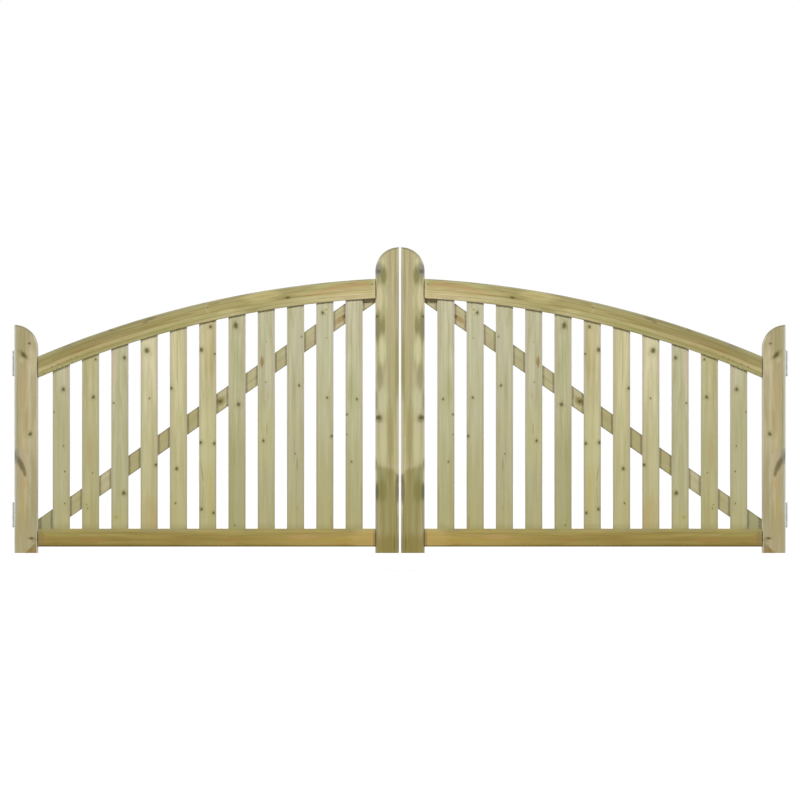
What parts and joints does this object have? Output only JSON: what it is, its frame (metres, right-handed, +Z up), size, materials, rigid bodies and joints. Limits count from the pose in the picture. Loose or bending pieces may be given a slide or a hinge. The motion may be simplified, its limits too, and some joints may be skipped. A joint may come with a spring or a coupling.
{
  "type": "wooden double gate",
  "caption": "Pair of hinged wooden driveway gate leaves with an arched top rail, upright pickets and a diagonal brace behind them.",
  "frame": {"origin": "on the outer face of the left lower hinge's post flap, at the middle of its height and of the frame's thickness", "axes": "+X along the gate from the left post to the right one as seen from the front, +Y from front to back, +Z up"},
  "size_m": [3.03, 0.061, 1.193],
  "materials": {
    "stile_timber": "planed, pressure treated",
    "arched_rail_timber": "planed, pressure treated",
    "bottom_rail_timber": "planed, pressure treated",
    "brace_timber": "planed, pressure treated",
    "picket_timber": "planed, pressure treated",
    "hinge_steel": "zinc plated"
  },
  "bodies": {
    "posts_side": {"left_lower_post_flap": "hinge_steel", "left_upper_post_flap": "hinge_steel", "right_lower_post_flap": "hinge_steel", "right_upper_post_flap": "hinge_steel"},
    "left_leaf": {"left_hanging_stile": "stile_timber", "left_meeting_stile": "stile_timber", "left_arched_rail": "arched_rail_timber", "left_bottom_rail": "bottom_rail_timber", "left_brace": "brace_timber", "left_picket_01": "picket_timber", "left_picket_02": "picket_timber", "left_picket_03": "picket_timber", "left_picket_04": "picket_timber", "left_picket_05": "picket_timber", "left_picket_06": "picket_timber", "left_picket_07": "picket_timber", "left_picket_08": "picket_timber", "left_picket_09": "picket_timber", "left_picket_10": "picket_timber", "left_picket_11": "picket_timber", "left_lower_gate_flap": "hinge_steel", "left_upper_gate_flap": "hinge_steel"},
    "right_leaf": {"right_hanging_stile": "stile_timber", "right_meeting_stile": "stile_timber", "right_arched_rail": "arched_rail_timber", "right_bottom_rail": "bottom_rail_timber", "right_brace": "brace_timber", "right_picket_01": "picket_timber", "right_picket_02": "picket_timber", "right_picket_03": "picket_timber", "right_picket_04": "picket_timber", "right_picket_05": "picket_timber", "right_picket_06": "picket_timber", "right_picket_07": "picket_timber", "right_picket_08": "picket_timber", "right_picket_09": "picket_timber", "right_picket_10": "picket_timber", "right_picket_11": "picket_timber", "right_lower_gate_flap": "hinge_steel", "right_upper_gate_flap": "hinge_steel"}
  },
  "joints": [
    {"name": "left_leaf_swing", "type": "hinge", "parent": "posts_side", "child": "left_leaf", "pos_m": [0.004, 0.0315, 0], "axis": [0, 0, 1], "range_deg": [0, 110]},
    {"name": "right_leaf_swing", "type": "hinge", "parent": "posts_side", "child": "right_leaf", "pos_m": [3.02, 0.0315, 0], "axis": [0, 0, -1], "range_deg": [0, 110]}
  ]
}
